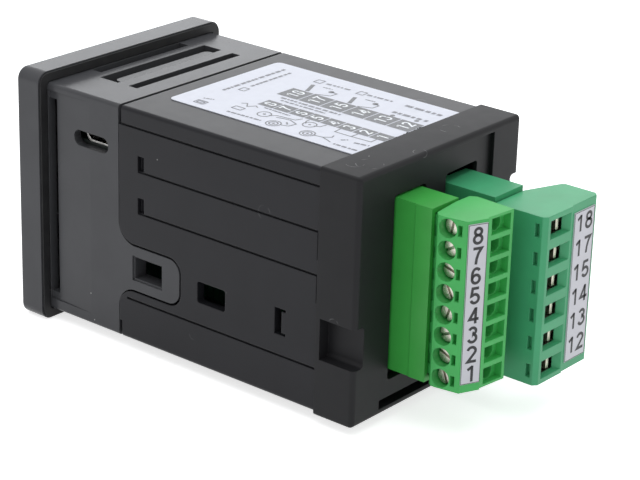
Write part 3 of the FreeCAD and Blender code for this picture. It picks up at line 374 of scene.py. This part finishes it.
def panelled_cover():
    """The rear cover's own form, with the panel round its sockets sunk on a slope."""
    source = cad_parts["rear_cover"].data
    points = [v.co for v in source.vertices]
    data = new_mesh("cover_panelled", points, [p.vertices[:] for p in source.polygons])
    form = bmesh.new()
    form.from_mesh(data)
    bmesh.ops.remove_doubles(form, verts=form.verts, dist=WELD * MM)
    form.to_mesh(data)
    form.free()
    run = (PANEL_START - PANEL_END) * (1 + PANEL_CLEAR / PANEL_DEPTH)
    rear, half = COVER_CORNER.y, COVER_CORNER.z - PANEL_EDGE
    behind = rear + PANEL_CLEAR
    outline = ((PANEL_END, rear - PANEL_DEPTH), (PANEL_END + run, behind), (PANEL_END, behind))
    corners = [Vector((x, y, z)) * MM for z in (-half, half) for x, y in outline]
    faces = ((0, 2, 1), (3, 4, 5), (0, 1, 4, 3), (1, 2, 5, 4), (2, 0, 3, 5))
    wedge = bpy.data.objects.new("wedge", new_mesh("wedge", corners, faces))
    piece = bpy.data.objects.new("cover_panelled", data)
    for item in (wedge, piece):
        bpy.context.scene.collection.objects.link(item)
    cut = piece.modifiers.new("panel", "BOOLEAN")
    cut.operation = "DIFFERENCE"
    cut.solver = "EXACT"
    cut.object = wedge
    bpy.context.view_layer.update()
    ready = piece.evaluated_get(bpy.context.evaluated_depsgraph_get())
    result = bpy.data.meshes.new_from_object(ready)
    piece.modifiers.clear()
    piece.data = result
    bpy.data.objects.remove(wedge)
    result.shade_smooth()
    result.set_sharp_from_angle(angle=SHARPEST_CURVE)
    result.materials.clear()
    result.materials.append(COVER)
    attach(piece, "controller")
    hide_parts("rear_cover")


panelled_cover()


# ---------------------------------------------------------------- print on flat faces
def arc(x, y, radius_x, radius_y, first, last):
    """Points along part of an ellipse, between two angles in degrees."""
    count = max(3, int(abs(last - first) / 18))
    turns = [math.radians(first + (last - first) * i / count) for i in range(count + 1)]
    return [(x + radius_x * math.cos(t), y + radius_y * math.sin(t)) for t in turns]


# Strokes of the numerals, by their middle lines, in a cell of height 1 about x = 0
SIDE = 0.21
NUMERALS = {
    "1": [[(0.07, 0.0), (0.07, 0.97)], [(0.09, 0.93), (-0.17, 0.74)]],
    "2": [arc(0, 0.71, SIDE, 0.225, 170, -38) + [(-0.19, 0.06), (SIDE + 0.05, 0.06)]],
    "3": [arc(-0.01, 0.735, 0.18, 0.2, 160, -90) + arc(-0.01, 0.3, SIDE, 0.235, 90, -165)],
    "4": [[(SIDE + 0.06, 0.27), (-0.22, 0.27), (0.1, 0.94)], [(0.1, 0.97), (0.1, 0.0)]],
    "5": [[(0.2, 0.94), (-0.13, 0.94), (-0.18, 0.5)] + arc(0, 0.32, SIDE, 0.26, 130, -160)],
    "6": [arc(0.01, 0.6, SIDE, 0.335, 38, 180) + [(-0.2, 0.32)], arc(0, 0.31, 0.2, 0.245, 0, 360)],
    "7": [[(-0.22, 0.94), (0.22, 0.94), (0.07, 0.66), (-0.02, 0.34), (-0.05, 0.0)]],
    "8": [arc(0, 0.74, 0.175, 0.2, 0, 360), arc(0, 0.3, SIDE, 0.24, 0, 360)],
}
NUMERAL_STEP = 0.68          # from one numeral's middle to the next one's, for a height of 1


PRINT_THICKNESS = 0.012      # millimetres of a printed piece, and how far it is lifted
SHARPEST_MITRE = 0.4         # cosine past which a line's corner gets no longer
ROUND_STEPS = 24             # sides of a printed disc or ring


def circle(x, y, radius, closed=False):
    """Corners of a circle's polygon; a closed one ends on its first corner."""
    turns = [2 * math.pi * i / ROUND_STEPS for i in range(ROUND_STEPS + closed)]
    return [(x + radius * math.cos(t), y + radius * math.sin(t)) for t in turns]


class Print:
    """Thin printed shapes on a plane: right and up are the plane's directions for a reader."""

    def __init__(self, name, centre, up, normal, material):
        self.name = name
        self.material = material
        self.mesh = bmesh.new()
        up = (up - normal * up.dot(normal)).normalized()
        right = up.cross(normal)
        self.place = Matrix.Translation(centre) @ Matrix((right, up, normal)).transposed().to_4x4()

    def polygon(self, points):
        """One flat face over points in millimetres."""
        corners = [self.mesh.verts.new((x * MM, y * MM, 0)) for x, y in points]
        self.mesh.faces.new(corners)

    def bar(self, start, end, width):
        a, b = Vector(start), Vector(end)
        side = (b - a).orthogonal().normalized() * width / 2
        self.polygon([a - side, b - side, b + side, a + side])

    def path(self, points, width):
        """Line of constant width with mitred corners; it closes where its ends meet."""
        points = [Vector(p) for p in points]
        closed = (points[0] - points[-1]).length < width / 10
        if closed:
            points.pop()
        count = len(points)
        edges = []
        for i, point in enumerate(points):
            before = points[i - 1] if closed or i else None
            after = points[(i + 1) % count] if closed or i < count - 1 else None
            ways = [(b - a).normalized() for a, b in ((before, point), (point, after)) if a and b]
            mean = sum(ways, Vector((0, 0))).normalized()
            side = Vector((-mean.y, mean.x))
            reach = width / 2 / max(SHARPEST_MITRE, side.dot(Vector((-ways[0].y, ways[0].x))))
            ends = (point + side * reach, point - side * reach)
            edges.append([self.mesh.verts.new((end.x * MM, end.y * MM, 0)) for end in ends])
        for i in range(count if closed else count - 1):
            (a, b), (c, d) = edges[i], edges[(i + 1) % count]
            self.mesh.faces.new((a, b, d, c))

    def dashes(self, start, end, height, chance):
        """Row of short dashes between two points, where small print would stand."""
        a, b = Vector(start), Vector(end)
        along = (b - a).normalized()
        at = 0.0
        while at < (b - a).length:
            stop = min(at + chance.uniform(0.4, 1.3) * height, (b - a).length)
            self.bar(a + along * at, a + along * stop, height * 0.55)
            at = stop + chance.uniform(0.2, 0.45) * height

    def rectangle(self, x, y, width, height):
        self.polygon([(x - width / 2, y - height / 2), (x + width / 2, y - height / 2),
                      (x + width / 2, y + height / 2), (x - width / 2, y + height / 2)])

    def frame(self, x, y, width, height, line):
        """Outline of a rectangle."""
        w, h = width / 2, height / 2
        for a, b in (((-w, -h), (w, -h)), ((w, -h), (w, h)), ((w, h), (-w, h)), ((-w, h), (-w, -h))):
            self.bar((x + a[0], y + a[1]), (x + b[0], y + b[1]), line)

    def disc(self, x, y, radius):
        self.polygon(circle(x, y, radius))

    def ring(self, x, y, radius, line):
        self.path(circle(x, y, radius, closed=True), line)

    def numeral(self, text, x, y, height, weight, widen=1.0):
        """Numeral of one or more figures, centred at a point; the weight is the width of its strokes."""
        text = str(text)
        for index, figure in enumerate(text):
            middle = x + (index - (len(text) - 1) / 2) * NUMERAL_STEP * height * widen
            for stroke in NUMERALS[figure]:
                self.path([(middle + a * height * widen, y + (b - 0.5) * height) for a, b in stroke], weight)

    def finish(self, body, slot, lift_mm=PRINT_THICKNESS):
        """Make the piece, lifted a little above its plane, and let it ride on a body."""
        turned = [f for f in self.mesh.faces if f.normal.z < 0]
        bmesh.ops.reverse_faces(self.mesh, faces=turned)
        data = bpy.data.meshes.new(self.name)
        self.mesh.to_mesh(data)
        self.mesh.free()
        data.materials.append(self.material)
        piece = bpy.data.objects.new(self.name, data)
        bpy.context.scene.collection.objects.link(piece)
        data.transform(self.place @ Matrix.Translation((0, 0, lift_mm * MM)))
        thick = piece.modifiers.new("thickness", "SOLIDIFY")
        thick.thickness = PRINT_THICKNESS * MM
        thick.offset = 1.0
        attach(piece, body)


def widest_face(node, towards):
    """Centre and normal of a CAD node's largest flat face on the side that a direction points to."""
    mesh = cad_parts[node].data
    areas = {}
    for polygon in mesh.polygons:
        if polygon.normal.dot(towards) > 0.5:
            key = tuple(round(c, 3) for c in polygon.normal)
            areas[key] = areas.get(key, 0) + polygon.area
    normal = Vector(max(areas, key=areas.get)).normalized()
    face = [p for p in mesh.polygons if p.normal.dot(normal) > 0.9999]
    total = sum(p.area for p in face)
    centre = sum((p.center * p.area for p in face), Vector()) / total
    return centre, normal


STRIP_SHADOW_INSET = 0.2            # the painted gap shadow round the strip is this much smaller than the strip
# width of the painted gap shadow round the strip
STRIP_SHADOW_LINE = 0.09


def number_strip(block, numbers, pitch, rise, height, weight, widen):
    """Bold numerals evenly down the strip beside the terminals, and a thin black frame round the strip:
    painted shadow of the gap between the strip and its recess.
    """
    centre, normal = widest_face(block + "_number_strip", -FORWARD)
    numerals = Print(block + "_numerals", centre, UP, normal, BLACK_INK)
    for index, number in enumerate(numbers):
        place = index - (len(numbers) - 1) / 2
        numerals.numeral(number, 0, place * pitch + rise, height, weight, widen)
    low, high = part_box(block + "_number_strip")
    length = (high.z - low.z) / MM
    width = math.hypot(high.x - low.x, high.y - low.y) / MM
    # painted shadow: thin black frame for the gap between the strip and its recess
    numerals.frame(0, 0, width - STRIP_SHADOW_INSET, length - STRIP_SHADOW_INSET, STRIP_SHADOW_LINE)
    numerals.finish(block + "_plug", "strip_film")


number_strip("signal", SIGNAL_NUMBERS, 3.5, -0.1, 2.95, 0.5, 1.2)
number_strip("power", POWER_NUMBERS, 4.48, 0.3, 3.05, 0.52, 1.3)


# ---------------------------------------------------------------- label on the sleeve
# Millimetres from the middle of the label: to the right and up for its reader
LABEL_ROWS = (                   # numbers, x, y of the first and of the last box, width of a box
    (POWER_NUMBERS, 2.65, -18.1, 6.6, 4.6),
    (SIGNAL_NUMBERS, -4.75, -18.9, 6.0, 3.1),
)
LABEL_RINGS = (                  # x, y and radius
    (-9.6, 3.2, 1.25), (-12.2, -1.1, 1.35), (-12.2, -1.1, 0.8), (-8.4, -6.0, 1.25), (-12.1, -8.6, 1.35),
    (-12.1, -8.6, 0.8),
)
LABEL_DOTS = (
    (7.9, 2.6, 0.55), (8.2, -7.2, 0.55), (5.4, -13.2, 0.45), (6.0, -18.0, 0.45), (-9.6, 3.2, 0.3),
    (-12.2, -1.1, 0.25), (-8.4, -6.0, 0.25), (-12.1, -8.6, 0.25),
)
LABEL_LEVERS = (((5.3, 6.1), (8.9, 7.6)), ((5.3, -3.6), (8.6, -2.3)))
LABEL_BOXES = (                  # x, y, width and height
    (-12.4, 15.5, 1.5, 2.2), (-12.4, 15.5, 0.7, 1.4), (-1.8, 14.8, 1.6, 1.3), (-10.3, 8.6, 1.3, 2.1),
    (11.1, 8.0, 1.6, 1.5), (11.2, -1.7, 1.6, 1.5),
)
LABEL_LINES = (                  # points of each lead
    ((-7.9, 10.0), (-7.3, 9.1), (-8.6, 8.1), (-7.3, 7.1), (-7.8, 6.3)),
    ((-9.6, 2.1), (-8.7, 1.2), (-8.3, -2.7), (-6.9, -3.2)),
    ((-12.0, -2.4), (-11.5, -3.9), (-9.8, -4.2), (-8.9, -2.1), (-9.4, 0.7)),
    ((-8.4, -5.1), (-7.4, -4.4), (-6.5, -4.4)),
    ((-8.4, -6.9), (-8.0, -8.0), (-6.5, -8.2)),
    ((5.0, 4.0), (6.1, 1.3), (7.8, 1.2), (7.9, 2.6)),
    ((5.0, -5.6), (6.1, -8.2), (7.8, -8.3), (8.2, -7.2)),
    ((-6.4, -11.2), (-8.2, -11.4), (-8.2, -15.0), (-6.4, -15.0)),
    ((-8.2, -15.0), (-8.0, -19.1), (-6.4, -19.0)),
    ((-12.1, -9.8), (-11.8, -11.7), (-12.2, -12.8), (-12.8, -14.2)),
    ((-11.8, -11.7), (-10.7, -12.9), (-9.9, -12.6)),
)
LABEL_PRINT = (                  # first point, last point and height of each row of small print
    ((-4.8, 17.1), (12.1, 17.1), 1.15), ((0.4, 15.0), (11.3, 15.0), 0.95), ((-10.5, 16.6), (-9.8, 14.7), 0.6),
    ((-12.9, 8.9), (-12.6, 1.4), 0.85), ((11.0, 6.2), (11.2, 0.9), 1.0), ((11.2, -3.0), (11.4, -8.5), 1.0),
    ((9.0, 5.4), (9.2, 3.4), 0.6), ((8.9, -4.4), (9.1, -6.4), 0.6), ((7.0, -12.0), (7.1, -19.5), 1.5),
    ((11.3, -11.5), (11.3, -20.0), 1.5), ((-0.7, 7.0), (-0.7, -6.5), 1.0), ((-1.9, 6.0), (-1.9, -4.0), 0.8),
    ((-13.1, -15.1), (-13.0, -20.2), 0.9), ((-10.3, -17.3), (-9.8, -20.1), 0.9),
    ((-10.8, -14.8), (-9.9, -15.7), 0.7), ((-6.9, 5.5), (-7.2, -0.5), 0.7),
    ((-10.2, -2.4), (-11.0, -3.2), 0.6),
)
LABEL_LINE_WIDTH = 0.22
LABEL_LEVER_WIDTH = 0.75
LABEL_BOX_GAP = 0.25             # between two numbered boxes
LABEL_NUMERAL_HEIGHT = 2.6       # or LABEL_NUMERAL_FILL of a box that is too low for it
LABEL_NUMERAL_FILL = 0.68
LABEL_NUMERAL_WEIGHT = 0.36


def label_prints():
    """Wiring diagram: boxes with white numerals, switches, meters, leads, and dashes for its small print."""
    low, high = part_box("wiring_label")
    centre = Vector(((low.x + high.x) / 2, (low.y + high.y) / 2, high.z))
    inks = (("boxes", GREY_INK), ("numerals", WHITE_INK), ("small_print", PALE_INK))
    grey, white, fine = (Print("label_" + name, centre, FORWARD, UP, material) for name, material in inks)
    for numbers, x, first, last, width in LABEL_ROWS:
        step = (last - first) / (len(numbers) - 1)
        for index, number in enumerate(numbers):
            y = first + step * index
            grey.rectangle(x, y, width, step - LABEL_BOX_GAP)
            height = min(LABEL_NUMERAL_HEIGHT, step * LABEL_NUMERAL_FILL)
            white.numeral(number, x, y, height, LABEL_NUMERAL_WEIGHT)
    for start, end in LABEL_LEVERS:
        grey.bar(start, end, LABEL_LEVER_WIDTH)
    for dot in LABEL_DOTS:
        grey.disc(*dot)
    for ring in LABEL_RINGS:
        grey.ring(*ring, LABEL_LINE_WIDTH)
    for box in LABEL_BOXES:
        fine.frame(*box, LABEL_LINE_WIDTH)
    for line in LABEL_LINES:
        grey.path(line, LABEL_LINE_WIDTH)
    chance = random.Random(4)
    for start, end, height in LABEL_PRINT:
        fine.dashes(start, end, height, chance)
    grey.finish("controller", "label_film")
    white.finish("controller", "label_film", 0.03)
    fine.finish("controller", "label_film", 0.02)


label_prints()


# ---------------------------------------------------------------- front: displays and keys
DIGITS = 4
DIGIT_SLANT = 0.12
DISPLAY_RIM = 0.6            # of a display that the window's print covers
WINDOW_RIM = 1.6             # of the window that rests on its ledge
KEY_MARK_HALF = 1.35
KEY_RING_LINE = 0.4
PORT_CONTACTS = 5


def front_face(node):
    """Centre of a CAD node's front, with its width and height in millimetres."""
    low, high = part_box(node)
    centre = Vector(((low.x + high.x) / 2, low.y, (low.z + high.z) / 2))
    return centre, (high.x - low.x) / MM, (high.z - low.z) / MM


def window_mask():
    """Black print behind the window, open over the displays and the lamps."""
    low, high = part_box("display_window")
    centre = Vector(((low.x + high.x) / 2, high.y, (low.z + high.z) / 2))

    def opening(start, end, margin):
        a, b = (start - centre) / MM, (end - centre) / MM
        return a.x + margin, b.x - margin, a.z + margin, b.z - margin

    holes = [opening(*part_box(node), DISPLAY_RIM) for node in ("process_display", "setpoint_display")]
    start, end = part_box("indicator_leds")
    levels = sorted({round(v.co.z, 6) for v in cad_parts["indicator_leds"].data.vertices})
    for bottom, top in zip(levels[::2], levels[1::2]):
        holes.append(opening(Vector((start.x, 0, bottom)), Vector((end.x, 0, top)), 0.0))
    edges = holes + [opening(low, high, WINDOW_RIM)]
    mask = Print("window_mask", centre, UP, FORWARD, BLACK_INK)
    across = sorted({x for edge in edges for x in edge[:2]})
    upward = sorted({z for edge in edges for z in edge[2:]})
    for left, right in zip(across, across[1:]):
        for bottom, top in zip(upward, upward[1:]):
            x, z = (left + right) / 2, (bottom + top) / 2
            if not any(hole[0] < x < hole[1] and hole[2] < z < hole[3] for hole in holes):
                mask.rectangle(x, z, right - left, top - bottom)
    mask.finish("controller", "window_acrylic", -0.03)


def unlit_digits(node):
    """Rows of unlit seven-segment figures with their decimal points, on the face of a display."""
    centre, width, height = front_face(node)
    segments = Print(node + "_segments", centre, UP, FORWARD, SEGMENT)
    tall = height * 0.74
    wide = tall * 0.52
    line = tall * 0.105
    pitch = min(width / DIGITS, tall * 0.86)

    def segment(x, y, length, upright):
        """Bar with pointed ends."""
        half, thick = length / 2 - line * 0.62, line / 2
        outline = [(-half - thick, 0), (-half, -thick), (half, -thick),
                   (half + thick, 0), (half, thick), (-half, thick)]
        if upright:
            outline = [(-b, a) for a, b in outline]
        segments.polygon([(x + a + (y + b) * DIGIT_SLANT, y + b) for a, b in outline])

    for index in range(DIGITS):
        x = (index - (DIGITS - 1) / 2) * pitch
        for y in (-tall / 2 + line / 2, 0, tall / 2 - line / 2):
            segment(x, y, wide - line, False)
        for side in (-1, 1):
            for y in (-tall / 4, tall / 4):
                segment(x + side * (wide - line) / 2, y, tall / 2 - line / 2, True)
        segments.disc(x + wide * 0.62, -tall / 2 + line / 2, line * 0.55)
    segments.finish("controller", "display_face")


def key_marks():
    """A plain mark on each key: ring, triangle down, triangle up and dot."""
    half = KEY_MARK_HALF
    for key in KEYS:
        mark = Print(key + "_mark", front_face(key)[0], UP, FORWARD, WHITE_INK)
        if key == "key_mode":
            mark.ring(0, 0, half, KEY_RING_LINE)
        elif key == "key_set":
            mark.disc(0, 0, half * 0.75)
        else:
            way = 1 if key == "key_up" else -1
            mark.polygon([(-half, -way * half * 0.7), (half, -way * half * 0.7), (0, way * half)])
        mark.finish(key, "key_plastic")


def port_contacts():
    """Gilt contacts under the tongue of the service port."""
    low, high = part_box("usb_tongue")
    centre = Vector(((low.x + high.x) / 2, (low.y + high.y) / 2, low.z))
    contacts = Print("usb_contacts", centre, Vector((1, 0, 0)), Vector((0, 0, -1)), GOLD)
    step = (high.y - low.y) / MM / (PORT_CONTACTS + 0.6)
    for index in range(PORT_CONTACTS):
        place = (index - (PORT_CONTACTS - 1) / 2) * step
        contacts.rectangle(place, 0.2, step * 0.5, (high.x - low.x) / MM * 0.8)
    contacts.finish("controller", "tinned_brass")


window_mask()
unlit_digits("process_display")
unlit_digits("setpoint_display")
key_marks()
port_contacts()


# ---------------------------------------------------------------- stage, light and camera
def seen_directly(tree):
    """1 for rays from the camera and for those that gloss and glass send on, 0 for the light on surfaces."""
    rays = tree.nodes.new("ShaderNodeLightPath").outputs
    seen = rays["Is Camera Ray"]
    for kind in ("Is Glossy Ray", "Is Transmission Ray"):
        either = tree.nodes.new("ShaderNodeMath")
        either.operation = "MAXIMUM"
        tree.links.new(seen, either.inputs[0])
        tree.links.new(rays[kind], either.inputs[1])
        seen = either.outputs[0]
    return seen


def make_floor():
    """Pale floor just under the object, white where it is seen or mirrored, but for the object's shadow."""
    low = cad_box[0]
    half = FLOOR_SIZE / 2
    corners = [(x * half, y * half, low.z - FLOOR_GAP) for x, y in ((-1, -1), (1, -1), (1, 1), (-1, 1))]
    data = new_mesh("floor", corners, [(0, 1, 2, 3)])
    floor = bpy.data.objects.new("floor", data)
    bpy.context.scene.collection.objects.link(floor)
    look = Look("floor_paper", Roughness=0.9, Specular_IOR_Level=0.1)
    look.set("Base Color", look.mix(look.noise(0.02), FLOOR_COLOUR, shade(FLOOR_COLOUR, 0.99)))
    look.set("Emission Color", (1, 1, 1, 1))
    look.set("Emission Strength", look.math("MULTIPLY", seen_directly(look.tree), FLOOR_GLOW))
    data.materials.append(look.material)


def make_light():
    """Even surroundings, a large soft box overhead, and one behind whose gleam lies on the upper faces."""
    world = bpy.data.worlds.new("studio")
    bpy.context.scene.world = world
    world.use_nodes = True
    tree = world.node_tree
    background = tree.nodes["Background"]
    background.inputs["Color"].default_value = (1, 1, 1, 1)
    level = tree.nodes.new("ShaderNodeMapRange")
    tree.links.new(seen_directly(tree), level.inputs[0])
    level.inputs[3].default_value = WORLD_LEVEL
    level.inputs[4].default_value = 1.0
    tree.links.new(level.outputs[0], background.inputs["Strength"])

    for name, size, place, power in SOFTBOXES:
        lamp = bpy.data.lights.new(name, "AREA")
        lamp.shape = "RECTANGLE"
        lamp.size, lamp.size_y = size
        lamp.energy = power
        lamp.color = LIGHT_COLOUR
        box = bpy.data.objects.new(name, lamp)
        box.location = place
        box.rotation_euler = (Vector(SOFTBOX_AIM) - box.location).to_track_quat("-Z", "Y").to_euler()
        bpy.context.scene.collection.objects.link(box)


def make_camera():
    data = bpy.data.cameras.new("camera")
    data.lens = CAMERA_LENS
    data.sensor_width = CAMERA_SENSOR
    camera = bpy.data.objects.new("camera", data)
    camera.location = CAMERA_PLACE
    camera.rotation_euler = [math.radians(a) for a in CAMERA_TURN]
    bpy.context.scene.collection.objects.link(camera)
    bpy.context.scene.camera = camera


make_floor()
make_light()
make_camera()
bpy.context.scene.view_settings.view_transform = "Standard"
